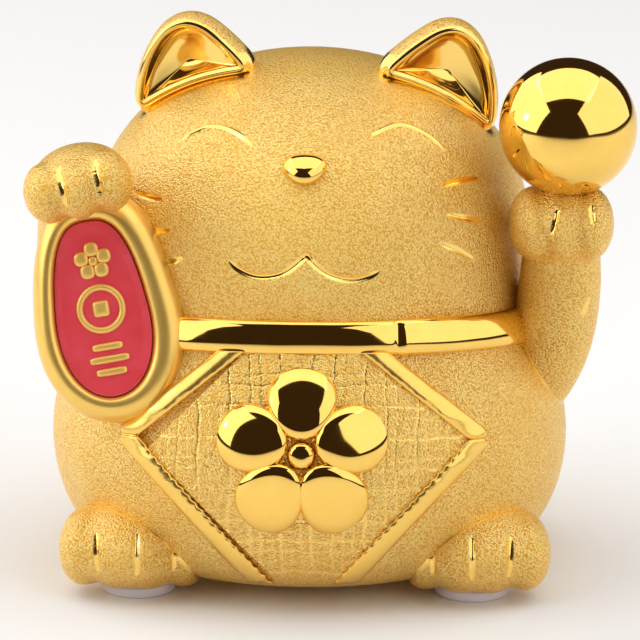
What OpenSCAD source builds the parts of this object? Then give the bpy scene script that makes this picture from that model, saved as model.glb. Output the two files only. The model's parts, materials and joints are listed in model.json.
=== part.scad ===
// Gold-plated ceramic beckoning cat: a hollow egg-shaped casting with sprigged ears, arms, feet,
// tail, collar, bib and coin, and a ball on the raised paw.
// The cat faces -Y and stands on Z = 0. Its right side is at -X.

/* [Body] */
// Width of the belly at its widest
belly_w = 137; // [124:1:164]
// Depth of the belly from front to back
belly_d = 114; // [104:1:126]
// Height of the belly's widest level
belly_z = 34; // [30:1:38]
// Rise of the belly's egg shape above and below its widest level
belly_rise = 56; // [52:1:62]
// Width of the head at its widest
head_w = 114; // [104:1:124]
// Depth of the head from front to back
head_d = 104; // [94:1:114]
// Height of the head's widest level
head_z = 84; // [78:1:100]
// Rise of the head's egg shape above its widest level
head_rise = 50; // [46:1:56]
// How far the head leans back from the belly
head_back = 10; // [4:1:14]
// Thickness of the cast wall
wall = 4.5; // [3:0.5:7]

/* [Base] */
// Thickness of the pads that the cat stands on
pad_t = 3; // [2:0.5:5]
// Diameter of each pad
pad_d = 20; // [14:1:24]
// Diameter of the drain hole in the base
drain_d = 30; // [20:1:36]
// Radial room between the drain hole and the stopper's plug
plug_gap = 0.05; // [0.02:0.01:0.1]
// Length of the stopper's plug above its flange
plug_l = 11; // [8:1:16]
// Width of the stopper's flange beyond the hole, all round
flange_lip = 3; // [2:0.5:5]

/* [Ears] */
// Height of each ear from its root to its tip
ear_h = 33; // [28:1:38]
// Half the distance between the ear tips
ear_apart = 36.5; // [30:1:42]
// How far the pair of ears sits towards the cat's left
ear_shift = 2.4; // [0:0.2:4]
// Thickness of an ear at its root
ear_t = 14; // [11:1:17]
// Width of the rim round an ear's dished inside
ear_rim = 2.4; // [1.6:0.2:3.2]

/* [Arms and ball] */
// Radius of each forearm
arm_r = 11; // [9:0.5:13]
// Half the width of a paw
paw_r = 13.5; // [11:0.5:15]
// Diameter of the ball on the raised paw
ball_d = 36; // [28:1:43]
// How deep the ball sits in the paw
ball_seat = 4; // [2:0.5:7]

/* [Coin] */
// Length of the oval coin
coin_l = 60.4; // [50:0.2:74]
// Width of the oval coin
coin_w = 39.6; // [32:0.2:48]
// Thickness of the coin at its rim
coin_t = 10; // [7:0.5:13]
// Width of the coin's rim at its sides
coin_rim_w = 7.6; // [5:0.2:9.2]
// Width of the coin's rim at its two ends
coin_rim_end = 6.8; // [5:0.2:9.2]
// Depth of the recess inside the rim
coin_recess = 3; // [2:0.5:4.5]
// Height of the red enamel in the recess
enamel_t = 1.2; // [0.8:0.2:1.6]

/* [Feet] */
// Half the width of a foot
foot_r = 17.5; // [14:0.5:20]
// Height of a foot's crown above the pads
foot_h = 19.5; // [15:0.5:24]
// Half the distance between the feet
foot_apart = 45.5; // [40:0.5:50]

/* [Collar and bib] */
// Width of the collar band
collar_w = 9; // [6:0.5:12]
// How far the collar band stands out
collar_t = 2.6; // [1.6:0.2:4]
// Half the width of the bib, corner to corner
bib_half = 50; // [42:1:56]
// Thickness of the bib's cloth
bib_t = 1.6; // [1:0.2:2.4]
// Width of the bib's border
bib_trim_w = 5; // [3:0.5:7]
// How far the bib's border stands out
bib_trim_t = 3; // [2.4:0.2:4]
// Radius of the blossom on the bib
blossom_r = 25; // [18:1:26]

/* [Hidden] */

// Facets: rings from pole to pole and sides round the body, then round limbs, then small balls
BODY_RINGS = 33;
BODY_SIDES = 54;
LIMB_RINGS = 14;
LIMB_SIDES = 20;
BALL_FN = 20;
// How hard two blended shapes keep to the outer or the inner one
BLEND_OUT = 9;
BLEND_FLOOR = 12;
// Squareness of the head's shoulders, as a share of its radius
SHOULDER = 0.035;
// The body's egg shapes are blended as seen from this point inside both
HEART = [0, 0, (belly_z + head_z) / 2 + 1];
// The belly leans forward by this share of head_back, and the head back by the rest
FORWARD = 0.4;
BELLY_C = [0, -head_back * FORWARD, belly_z];
BELLY_S = [belly_w / 2, belly_d / 2, belly_rise];
HEAD_C = [0, head_back * (1 - FORWARD), head_z];
HEAD_S = [head_w / 2, head_d / 2, head_rise];
// The egg's own floor lies a little under the flat base that it is cut to
FLOOR_UNDER = 1.2;
// Size of the blocks that trim the pieces, larger than the cat
FAR = 250;
// The face and the bib are laid out on a plane that leans back by this much
LEAN = 18;
LEAN_UP = [0, sin(LEAN), cos(LEAN)];
LEAN_OUT = [0, -cos(LEAN), sin(LEAN)];

GOLD = [0.86, 0.65, 0.24];
POLISHED = [0.95, 0.74, 0.25];
RED = [0.78, 0.05, 0.07];
WHITE = [0.93, 0.92, 0.95];
RUBBER = [0.9, 0.9, 0.88];

// ---- Shapes that several pieces use ----

function unit(v) = v / norm(v);
function soft_max(a, b, k) = pow(pow(a, k) + pow(b, k), 1 / k);
function soft_min(a, b, k) = pow(pow(a, -k) + pow(b, -k), -1 / k);

// Distance from HEART to an egg's skin along direction d
function egg_reach(d, centre, semi) =
    let (p = [for (i = [0:2]) (HEART[i] - centre[i]) / semi[i]])
    let (q = [for (i = [0:2]) d[i] / semi[i]])
    let (pq = p * q)
    (-pq + sqrt(pq * pq - (q * q) * (p * p - 1))) / (q * q);

// Distance from HEART to the body's skin along direction d
function skin_reach(d) =
    let (square = 1 + SHOULDER * pow(2 * max(d[2], 0) * norm([d[0], d[1]]), 2))
    let (egg = soft_max(egg_reach(d, BELLY_C, BELLY_S), egg_reach(d, HEAD_C, HEAD_S) * square, BLEND_OUT))
    let (floor_z = HEART[2] - pad_t + FLOOR_UNDER)
    d[2] < 0 ? soft_min(egg, -floor_z / d[2], BLEND_FLOOR) : egg;

// Direction at azimuth a (0 is the front, 90 the cat's left) and elevation e
function towards(a, e) = [sin(a) * cos(e), -cos(a) * cos(e), sin(e)];

// Point out mm above the skin in that direction
function skin_point(a, e, out = 0) = HEART + towards(a, e) * (skin_reach(towards(a, e)) + out);

// Depth at which the leaning plane's point (x, v) meets the skin, by halving
function lean_point(x, v, t) = [x, 0, 0] + v * LEAN_UP + t * LEAN_OUT;
function inside(p) = norm(p - HEART) < skin_reach(unit(p - HEART));
function lean_depth(x, v, low = 0, high = 100, tries = 24) =
    let (mid = (low + high) / 2)
    tries == 0 ? mid : inside(lean_point(x, v, mid)) ? lean_depth(x, v, mid, high, tries - 1)
    : lean_depth(x, v, low, mid, tries - 1);
function on_lean(x, v, out = 0) = lean_point(x, v, lean_depth(x, v) + out);

// The body's outer form, grown by out all over
module body_form(out = 0, rings = BODY_RINGS, sides = BODY_SIDES) {
    rows = [for (i = [1:rings - 1])
        [for (j = [0:sides - 1]) skin_point(-360 * j / sides, 90 - 180 * i / rings, out)]];
    top = skin_point(0, 90, out);
    bottom = skin_point(0, -90, out);
    points = concat([for (row = rows) each row], [top, bottom]);
    count = (rings - 1) * sides;
    walls = [for (i = [0:rings - 3], j = [0:sides - 1])
        let (a = i * sides + j)
        let (b = i * sides + (j + 1) % sides)
        each [[a, b + sides, b], [a, a + sides, b + sides]]];
    caps = [for (j = [0:sides - 1])
        let (k = (j + 1) % sides)
        each [[count, j, k], [count + 1, count - sides + k, count - sides + j]]];
    polyhedron(points, concat(walls, caps), convexity = 4);
}

// Smooth free-form clay is taken as one skin
module one_skin() {
    resize([0, 0, 0]) children();
}

// Clay is trimmed flat at the level where the pads begin
module above_pads() {
    difference() {
        children();
        translate([-FAR / 2, -FAR / 2, pad_t - FAR]) cube([FAR, FAR, FAR]);
    }
}

// A piece that is luted to the body: its own form, less the body
module luted() {
    one_skin() difference() {
        above_pads() children();
        body_form();
    }
}

// Point and width along a cubic curve
function curve(p, t) = let (s = 1 - t)
    s * s * s * p[0] + 3 * s * s * t * p[1] + 3 * s * t * t * p[2] + t * t * t * p[3];
function curve_way(p, t) = let (s = 1 - t)
    unit(s * s * (p[1] - p[0]) + 2 * s * t * (p[2] - p[1]) + t * t * (p[3] - p[2]));

// A limb: round sections along a curve, closed by round ends
module limb(path, radii, end_power = 5) {
    steps = [for (i = [1:LIMB_RINGS - 1]) (1 - cos(180 * i / LIMB_RINGS)) / 2];
    rings = [for (t = steps)
        let (way = curve_way(path, t))
        let (across = unit(cross(way, [0, 1, 0])))
        let (r = curve(radii, t) * pow(1 - pow(abs(2 * t - 1), end_power), 1 / end_power))
        [for (j = [0:LIMB_SIDES - 1])
            let (a = 360 * j / LIMB_SIDES)
            curve(path, t) + r * (cos(a) * across + sin(a) * cross(way, across))]];
    count = len(steps) * LIMB_SIDES;
    points = concat([for (ring = rings) each ring], [path[0], path[3]]);
    walls = [for (i = [0:len(steps) - 2], j = [0:LIMB_SIDES - 1])
        let (a = i * LIMB_SIDES + j)
        let (b = i * LIMB_SIDES + (j + 1) % LIMB_SIDES)
        each [[a, a + LIMB_SIDES, b + LIMB_SIDES], [a, b + LIMB_SIDES, b]]];
    caps = [for (j = [0:LIMB_SIDES - 1])
        let (k = (j + 1) % LIMB_SIDES)
        each [[count, j, k], [count + 1, count - LIMB_SIDES + k, count - LIMB_SIDES + j]]];
    polyhedron(points, concat(walls, caps), convexity = 6);
}

// An egg of given half sizes, turned and placed
module egg(at, semi, turn = [0, 0, 0], fn = BALL_FN) {
    translate(at) rotate(turn) scale(semi) sphere(r = 1, $fn = fn);
}

// ---- Body ----

// The cavity follows the body's form one wall in, and its floor is flat, one wall above the base
module cavity() {
    difference() {
        body_form(-wall, BODY_RINGS * 2 / 3, BODY_SIDES * 2 / 3);
        translate([-FAR / 2, -FAR / 2, pad_t + wall - FAR]) cube([FAR, FAR, FAR]);
    }
}

// Facets of the drain hole, the stopper and the ball
ROUND_FN = 64;

module drain(d) {
    translate([0, 0, pad_t - 1]) cylinder(h = wall + 4, d = d, $fn = ROUND_FN);
}

// The casting is poured out through a pilot hole, which is then bored to its size
module body_shell() {
    color(GOLD) difference() {
        one_skin() difference() {
            above_pads() body_form();
            cavity();
            drain(drain_d * 0.8);
        }
        drain(drain_d);
    }
}

// ---- Ears: side is -1 for the cat's right and 1 for its left ----

// How far the tips stand over the head's crown, and how far back they are
EAR_TOP = head_z + head_rise + 13.5;
EAR_Y = 3;
EAR_ROOT_R = 7;
EAR_FN = 16;
// Balls that an ear is stretched over: how far out from the tip, how far down as a share, radius
EAR_BALLS = [[0, 0.15, 5], [6.2, 0.51, 5.8], [6.8, 0.88, EAR_ROOT_R], [-7.6, 0.32, 5], [-14.6, 0.52, 5.6]];

// An ear's outline, drawn in by thin all round, with a back that swells towards the root
module ear_blank(side, thin) {
    translate([ear_shift + side * ear_apart, EAR_Y, EAR_TOP]) hull() {
        for (b = EAR_BALLS)
            translate([side * b[0], 0, -ear_h * b[1]]) sphere(r = b[2] - thin, $fn = EAR_FN);
        translate([-side * 3, ear_t - EAR_ROOT_R, -ear_h * 0.9])
            sphere(r = EAR_ROOT_R - thin, $fn = EAR_FN);
    }
}

module ear(side) {
    luted() difference() {
        ear_blank(side, 0);
        translate([ear_shift + side * ear_apart, EAR_Y, EAR_TOP]) hull()
            for (b = EAR_BALLS, out = [0.25, 2])
                translate([side * b[0], -EAR_ROOT_R * out, -ear_h * b[1]])
                    sphere(r = b[2] - ear_rim, $fn = EAR_FN);
    }
}

module right_ear() {
    color(GOLD) ear(-1);
}

module left_ear() {
    color(GOLD) ear(1);
}

// ---- Face ----

NOSE_AT = on_lean(0, head_z + 14.8, -0.6);
// How far the nose leans back with the face
NOSE_LEAN = 38;

// A rounded triangle, point down
module nose() {
    color(POLISHED) luted() translate(NOSE_AT) rotate([-NOSE_LEAN, 0, 0]) scale([1, 0.75, 1]) hull() {
        for (side = [-1, 1]) translate([side * 3.2, 0, 1]) sphere(r = 3.1, $fn = 24);
        translate([0, 0, -2.2]) sphere(r = 2.6, $fn = 24);
    }
}

// ---- Arms ----

// Both arms grow out of the belly's sides, this far in from its widest line
ARM_IN = 22.5;
ARM_ROOT = [belly_w / 2 - ARM_IN, -2, belly_z + 2];

// The ball rests on the raised paw, beside the head and in front of the ear
BALL_AT = [head_w / 2 - 7.2, 0, head_z + 20.3] + [1, -1, 1] * ball_d / 2;
LEFT_PAW = BALL_AT - [1.5, 0, ball_d / 2 + paw_r - 2.5 - ball_seat];
LEFT_ARM = [ARM_ROOT, [belly_w / 2 - 2.5, -8, belly_z + 20], [head_w / 2 + 10, -16, head_z - 12],
    LEFT_PAW + [0, 1, 0]];

module left_arm() {
    color(GOLD) luted() difference() {
        union() {
            limb(LEFT_ARM, [arm_r, arm_r + 2, arm_r - 1, arm_r]);
            egg(LEFT_PAW, [paw_r - 0.4, paw_r - 1, paw_r - 2]);
            for (k = [-1:1])
                egg(LEFT_PAW + [k * paw_r * 0.56, -3.5 + abs(k) * 1.2, 0.5], [paw_r * 0.44, 10.8, paw_r - 3]);
        }
        translate(BALL_AT) sphere(r = ball_d / 2 / cos(180 / ROUND_FN), $fn = ROUND_FN);
        collar_form();
    }
}

module ball() {
    color(POLISHED) translate(BALL_AT) sphere(d = ball_d, $fn = ROUND_FN);
}

// How far the middle of the coin stands off the body
COIN_OUT = 10.7;
// The coin's own frame: its face looks along -Y, then it is turned and leaned back
COIN_AT = skin_point(-53.8, 15.7, COIN_OUT);
COIN_TURN = 2;
COIN_LEAN = 17;
COIN_TILT = 11;

module in_coin_frame() {
    translate(COIN_AT) rotate([-COIN_LEAN, 0, -COIN_TURN]) rotate([0, -COIN_TILT, 0]) rotate([90, 0, 0])
        children();
}

RIGHT_PAW = COIN_AT + [-7.2, 2.9, coin_l / 2 + 3.9];
RIGHT_ARM = [[-ARM_ROOT[0], ARM_ROOT[1], ARM_ROOT[2]], [6.5 - belly_w / 2, -6, belly_z + 28],
    [6.5 - belly_w / 2, -12, head_z + 4], RIGHT_PAW + [0, 8, -3]];

module right_arm() {
    color(GOLD) luted() difference() {
        union() {
            limb(RIGHT_ARM, [arm_r, arm_r + 1, arm_r, arm_r]);
            egg(RIGHT_PAW, [paw_r - 0.9, paw_r + 0.5, paw_r - 4.5], [-6, -13, 0]);
            for (k = [-1:1])
                egg(RIGHT_PAW + [0.3 + k * paw_r * 0.59, -8 + 1.5 * abs(k), -0.4 + k * 1.8],
                    [paw_r * 0.45, 8, 8], [0, -13, 0]);
        }
        in_coin_frame() coin_blank();
        collar_form();
    }
}

// ---- Coin ----

// The coin's outline is a full oval, squarer than an ellipse and narrower towards the paw
COIN_FULLNESS = 2.4;
COIN_TAPER = 0.13;

function full(x) = sign(x) * pow(abs(x), 2 / COIN_FULLNESS);

// A flat oval, drawn in from the coin's edge by side at its sides and by end at its ends
module oval(side, end, h) {
    linear_extrude(h) polygon([for (a = [0:5:355])
        [(coin_w / 2 - side) * full(cos(a)) * (1 - COIN_TAPER * full(sin(a))), (coin_l / 2 - end) * full(sin(a))]]);
}

module coin_blank() {
    hull() {
        translate([0, 0, -coin_t / 2]) oval(0.4, 0.4, 1);
        translate([0, 0, -coin_t / 2 + 1]) oval(0, 0, 1);
        translate([0, 0, coin_t * 0.15]) oval(1, 1, 1);
        translate([0, 0, coin_t / 2 - 0.2]) oval(3.4, 3.2, 0.2);
    }
}

module coin_rim() {
    color(POLISHED) one_skin() difference() {
        in_coin_frame() difference() {
            coin_blank();
            translate([0, 0, coin_t / 2 - coin_recess]) oval(coin_rim_w, coin_rim_end, coin_recess + 1);
        }
        body_form();
    }
}

module coin_enamel() {
    color(RED) in_coin_frame() translate([0, 0, coin_t / 2 - coin_recess])
        oval(coin_rim_w, coin_rim_end, enamel_t);
}

// Three raised marks down the coin: a small blossom, a cash ring with a square in it, and bars
RELIEF_T = 0.8;
MARK_R = 5.4;

module raised_blossom() {
    for (k = [0:4])
        rotate(72 * k) translate([0, MARK_R * 0.62]) cylinder(h = RELIEF_T, r = MARK_R * 0.34, $fn = 24);
}

module raised_ring() {
    difference() {
        cylinder(h = RELIEF_T, r = MARK_R * 1.25, $fn = 48);
        translate([0, 0, -1]) cylinder(h = RELIEF_T + 2, r = MARK_R, $fn = 48);
    }
    translate([-MARK_R * 0.4, -MARK_R * 0.4, 0]) cube([MARK_R * 0.8, MARK_R * 0.8, RELIEF_T]);
}

module raised_bars() {
    for (k = [-1:1])
        translate([-MARK_R * (1 - abs(k) * 0.25), k * 3.4 - 0.8, 0])
            cube([MARK_R * 2 * (1 - abs(k) * 0.25), 1.6, RELIEF_T]);
}

module coin_relief() {
    color(POLISHED) in_coin_frame() translate([0, 0, coin_t / 2 - coin_recess + enamel_t]) {
        translate([0, 12.5, 0]) raised_blossom();
        raised_ring();
        translate([0, -13.2, 0]) raised_bars();
    }
}

// ---- Feet ----

// The feet stick out under the front of the belly, toes turned a little outwards
FOOT_Y = 21.5 - belly_d / 2;
FOOT_TURN = 8;

// A foot's whole form, with its toes' valleys
module foot_form(side) {
    translate([side * foot_apart, FOOT_Y, pad_t]) {
        egg([0, 0, foot_h * 0.46], [foot_r, 18, foot_h * 0.54], [0, 0, side * FOOT_TURN]);
        for (k = [-1.5:1:1.5])
            egg([k * foot_r * 0.46, -6 + abs(k) * 2.4, foot_h * 0.42],
                [foot_r * 0.36, 11.5, foot_h * 0.48], [0, 0, side * FOOT_TURN]);
    }
}

module foot(side) {
    luted() foot_form(side);
}

module right_foot() {
    color(GOLD) foot(-1);
}

module left_foot() {
    color(GOLD) foot(1);
}

// ---- Collar ----

// The collar's slope up to the front, and its height at the middle, between belly and head
COLLAR_PITCH = 10.5;
COLLAR_MID = belly_z + (head_z - belly_z) * 0.616;

// A level slab that rises to the front with the collar, from its lower edge up
module collar_slab(height) {
    translate([0, 0, COLLAR_MID]) rotate([-COLLAR_PITCH, 0, 0])
        translate([-FAR / 2, -FAR / 2, -collar_w / 2]) cube([FAR, FAR, height]);
}

module collar_form() {
    intersection() {
        body_form(collar_t);
        collar_slab(collar_w);
    }
}

module collar_band() {
    color(POLISHED) luted() difference() {
        collar_form();
        in_coin_frame() coin_blank();
    }
}

module collar_bow() {
    at = skin_point(180, 2, collar_t);
    color(POLISHED) luted() difference() {
        union() {
            for (side = [-1, 1])
                egg(at + [side * 9, 0.5, 0], [9, 3.6, 6.5], [0, side * 12, side * 8]);
            egg(at + [0, 1, 0], [4, 4.4, 4.4]);
        }
        collar_form();
    }
}

// ---- Bib ----

// Heights of the bib's side corners and of its top, hidden under the collar, on the leaning plane
BIB_CORNER_V = belly_z - 4;
BIB_TOP_V = COLLAR_MID - 4.8;

// The bib's outline on the leaning plane: a diamond whose lower half runs off under the belly
module bib_outline() {
    upper = BIB_TOP_V - BIB_CORNER_V;
    polygon([[bib_half, BIB_CORNER_V], [bib_half - upper * 1.27, BIB_TOP_V],
        [-bib_half + upper * 1.27, BIB_TOP_V], [-bib_half, BIB_CORNER_V], [0, BIB_CORNER_V - bib_half * 1.087]]);
}

// Stands a flat outline on the leaning plane, as a prism through the front of the body
module through_front() {
    rotate([90 - LEAN, 0, 0]) translate([0, 0, 10]) linear_extrude(FAR) children();
}

module bib_layer(thick) {
    luted() difference() {
        intersection() {
            body_form(thick);
            through_front() children();
        }
        collar_slab(FAR);
        for (side = [-1, 1])
            foot_form(side);
        in_coin_frame() coin_blank();
    }
}

module bib_cloth() {
    color(GOLD) bib_layer(bib_t) offset(delta = -bib_trim_w) bib_outline();
}

module bib_trim() {
    color(POLISHED) bib_layer(bib_trim_t) difference() {
        bib_outline();
        offset(delta = -bib_trim_w) bib_outline();
    }
}

BLOSSOM_V = BIB_CORNER_V - 5;

module bib_blossom() {
    petal = blossom_r * 0.42;
    color(POLISHED) one_skin() difference() {
        union() {
            for (k = [0:4]) {
                a = 90 + 72 * k;
                at = on_lean(cos(a) * petal * 1.35, BLOSSOM_V + sin(a) * petal * 1.35, bib_t - 1);
                egg(at, [petal, 4.5, petal], [-LEAN, 0, 0]);
            }
            egg(on_lean(0, BLOSSOM_V, bib_t), [petal * 0.6, 5.5, petal * 0.6], [-LEAN, 0, 0]);
        }
        body_form(bib_t);
    }
}

// ---- Tail, pads and stopper ----

module tail() {
    start = skin_point(168, -33, -4);
    knee = skin_point(200, -30, 6);
    bend = skin_point(222, -22, 8);
    tip = skin_point(216, -6, 3);
    color(GOLD) luted() difference() {
        limb([start, knee, bend, tip], [9, 9, 8, 6.5], 4);
        collar_form();
    }
}

// A pad under each foot and two under the rump
PAD_SPOTS = [for (side = [-1, 1]) each [
    [side * (foot_apart - 1.5), FOOT_Y + 0.5],
    [side * (belly_w / 2 - 38.5), belly_d / 2 - 33]]];

// Room between the flange and the base over it, and between the flange and the ground under it
FLANGE_OVER = 0.3;
FLANGE_UNDER = 0.6;
// Wall of the hollow plug
PLUG_WALL = 3;

module foot_pads() {
    color(WHITE) for (spot = PAD_SPOTS)
        translate([spot[0], spot[1], 0]) cylinder(h = pad_t, d = pad_d, $fn = 48);
}

module base_stopper() {
    plug_d = drain_d - 2 * plug_gap;
    flange_t = pad_t - FLANGE_OVER - FLANGE_UNDER;
    color(RUBBER) translate([0, 0, FLANGE_UNDER]) difference() {
        union() {
            cylinder(h = flange_t, d = drain_d + 2 * flange_lip, $fn = ROUND_FN);
            cylinder(h = flange_t + plug_l, d = plug_d, $fn = ROUND_FN);
        }
        translate([0, 0, flange_t + 1]) cylinder(h = plug_l, d = plug_d - 2 * PLUG_WALL, $fn = ROUND_FN);
    }
}

body_shell();
right_ear();
left_ear();
nose();
right_arm();
left_arm();
ball();
coin_rim();
coin_enamel();
coin_relief();
right_foot();
left_foot();
collar_band();
collar_bow();
bib_cloth();
bib_trim();
bib_blossom();
tail();
foot_pads();
base_stopper();
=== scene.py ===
"""A gold-plated ceramic beckoning cat with a ball and a coin, finished on its CAD frame."""
import json
import math

import bpy
import numpy as np
from bpy.props import FloatProperty, FloatVectorProperty, PointerProperty
from bpy.types import Operator, Panel, PropertyGroup
from mathutils import Matrix, Vector
from mathutils.kdtree import KDTree


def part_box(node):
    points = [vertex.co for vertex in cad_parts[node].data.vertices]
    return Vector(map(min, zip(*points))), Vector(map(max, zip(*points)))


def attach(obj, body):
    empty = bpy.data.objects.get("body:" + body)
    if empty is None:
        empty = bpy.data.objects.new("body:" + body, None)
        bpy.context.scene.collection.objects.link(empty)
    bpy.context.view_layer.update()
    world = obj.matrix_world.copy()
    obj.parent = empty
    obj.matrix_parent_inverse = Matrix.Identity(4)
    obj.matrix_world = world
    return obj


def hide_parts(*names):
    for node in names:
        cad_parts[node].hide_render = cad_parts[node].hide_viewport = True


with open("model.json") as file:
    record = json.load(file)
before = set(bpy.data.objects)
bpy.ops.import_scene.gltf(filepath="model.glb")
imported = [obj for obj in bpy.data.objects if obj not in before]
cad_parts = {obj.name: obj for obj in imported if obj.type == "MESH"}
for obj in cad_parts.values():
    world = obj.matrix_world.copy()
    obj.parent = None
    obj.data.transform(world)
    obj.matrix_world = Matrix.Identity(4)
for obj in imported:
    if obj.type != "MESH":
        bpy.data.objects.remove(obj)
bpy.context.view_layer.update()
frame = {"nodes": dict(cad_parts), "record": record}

bl_info = {
    "name": "Gilded Beckoning Cat",
    "version": (1, 0, 0),
    "blender": (4, 5, 0),
    "location": "3D View > Sidebar > Cat",
    "description": "Builds the gilded ceramic cat, its materials and its studio, piece by piece",
    "category": "Add Mesh",
}

MM = 0.001
BODY = "cat"

# ---- Sizes that several pieces share, in metres ----

SHELL_LOW, SHELL_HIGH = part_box("body_shell")
BASE_Z = SHELL_LOW.z
# Each egg of the body is a centre and three half sizes
BELLY = (np.array((0, -4, 34)) * MM, np.array((SHELL_HIGH.x / MM, 57, 56)) * MM)
HEAD = (np.array((0, 6, 84)) * MM, np.array((57, 52, 50)) * MM)
# The body's skin is measured from this point inside both eggs
HEART = np.array((0, 0, 60)) * MM
# How tightly the eggs run into each other and into the underside: a higher number gives a sharper crease
BLEND_OUT, BLEND_FLOOR = 9, 12
# The share by which the head's upper corners swell, and how far below the base the rounding aims
SHOULDER, FLOOR_UNDER = 0.035, 1.2 * MM
WALL = 4.5 * MM
# The face and the bib are laid out on a plane that leans back with the belly
LEAN = math.radians(18)
LEAN_UP = np.array((0, math.sin(LEAN), math.cos(LEAN)))
LEAN_OUT = np.array((0, -math.cos(LEAN), math.sin(LEAN)))
# The skin lies nearer than this to that plane
LEAN_REACH = 100 * MM

BALL_LOW, BALL_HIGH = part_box("ball")
BALL_AT = np.array((BALL_LOW + BALL_HIGH) / 2)
BALL_R = (BALL_HIGH.x - BALL_LOW.x) / 2
DRAIN_R = 15 * MM
PAD_R = 10 * MM
PAD_SPOTS = ((-44, -35), (44, -35), (-30, 24), (30, 24))


# ---- The body's form ----

def egg_reach(way, egg):
    """Distance from HEART to an egg's skin along each unit vector."""
    centre, semi = egg
    p = (HEART - centre) / semi
    q = way / semi
    pq = q @ p
    qq = (q * q).sum(-1)
    return (-pq + np.sqrt(pq * pq - qq * (p @ p - 1))) / qq


def skin_reach(way):
    """Distance from HEART to the body's skin along each unit vector."""
    lift = np.maximum(way[..., 2], 0)
    square = 1 + SHOULDER * (2 * lift * np.hypot(way[..., 0], way[..., 1])) ** 2
    belly = egg_reach(way, BELLY)
    head = egg_reach(way, HEAD) * square
    egg = (belly ** BLEND_OUT + head ** BLEND_OUT) ** (1 / BLEND_OUT)
    flat = (HEART[2] - BASE_Z + FLOOR_UNDER) / np.maximum(-way[..., 2], 1e-6)
    floored = (egg ** -BLEND_FLOOR + flat ** -BLEND_FLOOR) ** (-1 / BLEND_FLOOR)
    return np.where(way[..., 2] < 0, floored, egg)


def on_skin(way, out=0.0):
    """The skin's point along each unit vector from HEART, or the point that lies out metres further."""
    return HEART + way * (skin_reach(way) + out)[..., None]


def to_skin(points, out=0.0):
    """Moves points along their rays from HEART to stand out metres off the skin."""
    ray = points - HEART
    return on_skin(ray / np.linalg.norm(ray, axis=-1, keepdims=True), out)


def off_skin(points):
    """How far each point stands off the skin, along its ray from HEART."""
    ray = points - HEART
    far = np.linalg.norm(ray, axis=-1)
    return far - skin_reach(ray / far[..., None])


def towards(azimuth, height):
    """Unit vector at an azimuth (from the front to the cat's left) and an elevation, in degrees."""
    a, e = np.radians(azimuth), np.radians(height)
    return np.stack([np.sin(a) * np.cos(e), -np.cos(a) * np.cos(e), np.sin(e) + 0 * a], -1)


def on_lean(x, v, out=0.0):
    """The skin's point over (x, v) on the leaning plane, moved out along the plane's normal."""
    x, v = np.broadcast_arrays(np.asarray(x, float), np.asarray(v, float))
    flat = np.stack([x, v * LEAN_UP[1], v * LEAN_UP[2]], -1)
    low, high = np.zeros(x.shape), np.full(x.shape, LEAN_REACH)
    for _ in range(26):
        mid = (low + high) / 2
        inside = off_skin(flat + mid[..., None] * LEAN_OUT) < 0
        low, high = np.where(inside, mid, low), np.where(inside, high, mid)
    return flat + (low + out)[..., None] * LEAN_OUT


def smooth_step(x, low, high):
    t = np.clip((x - low) / (high - low), 0, 1)
    return t * t * (3 - 2 * t)


def eased(loop, passes):
    """Evens out the values round a closed loop."""
    for _ in range(passes):
        loop = (np.roll(loop, 1, 0) + 2 * loop + np.roll(loop, -1, 0)) / 4
    return loop


def curve_through(points, count):
    """A smooth open curve through a few points, as count points."""
    p = np.asarray(points, float)
    p = np.vstack([2 * p[0] - p[1], p, 2 * p[-1] - p[-2]])
    t = np.linspace(0, len(p) - 3, count)
    i = np.minimum(t.astype(int), len(p) - 4)
    f = (t - i)[:, None]
    a, b, c, d = p[i], p[i + 1], p[i + 2], p[i + 3]
    return 0.5 * (2 * b + (c - a) * f + (2 * a - 5 * b + 4 * c - d) * f ** 2
                  + (3 * b - a - 3 * c + d) * f ** 3)


# ---- Mesh work ----

# Points nearer than this are one
MERGE = 1e-6


def deselect():
    bpy.ops.object.select_all(action="DESELECT")


def take(obj):
    """Makes obj the only selected object, and the active one."""
    deselect()
    obj.select_set(True)
    bpy.context.view_layer.objects.active = obj
    return obj


def edit(obj):
    take(obj)
    bpy.ops.object.mode_set(mode="EDIT")
    bpy.ops.mesh.select_all(action="SELECT")


def leave():
    bpy.ops.object.mode_set(mode="OBJECT")


def read(obj, what="co", items="vertices"):
    """One vector for each vertex, or for each of the mesh's other items."""
    items = getattr(obj.data, items)
    values = np.empty(len(items) * 3)
    items.foreach_get(what, values)
    return values.reshape(-1, 3)


def write(obj, co):
    obj.data.vertices.foreach_set("co", np.ascontiguousarray(co).ravel())
    obj.data.update()


def keep_above(obj, height):
    """Flattens whatever lies lower than a height."""
    co = read(obj)
    co[:, 2] = np.maximum(co[:, 2], height)
    write(obj, co)


def named(name):
    """The active object, with its name set."""
    obj = bpy.context.object
    obj.name = obj.data.name = name
    return obj


def close_up(obj):
    """Merges what meets and points every face outwards."""
    edit(obj)
    bpy.ops.mesh.remove_doubles(threshold=MERGE)
    bpy.ops.mesh.dissolve_degenerate(threshold=MERGE / 10)
    bpy.ops.mesh.select_all(action="SELECT")
    bpy.ops.mesh.normals_make_consistent(inside=False)
    leave()
    return obj


def wrapped(name, around, along, surface):
    """A grid whose across (u) and along (v) run from 0 to 1, placed by surface(u, v) and closed."""
    deselect()
    bpy.ops.mesh.primitive_grid_add(x_subdivisions=around, y_subdivisions=along, size=1)
    obj = named(name)
    flat = read(obj)
    write(obj, surface(flat[:, 0] + 0.5, flat[:, 1] + 0.5))
    return close_up(obj)


def apply(obj, kind, **values):
    take(obj)
    modifier = obj.modifiers.new(kind.lower(), kind)
    for name, value in values.items():
        setattr(modifier, name, value)
    bpy.ops.object.modifier_apply(modifier=modifier.name)
    return obj


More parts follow.
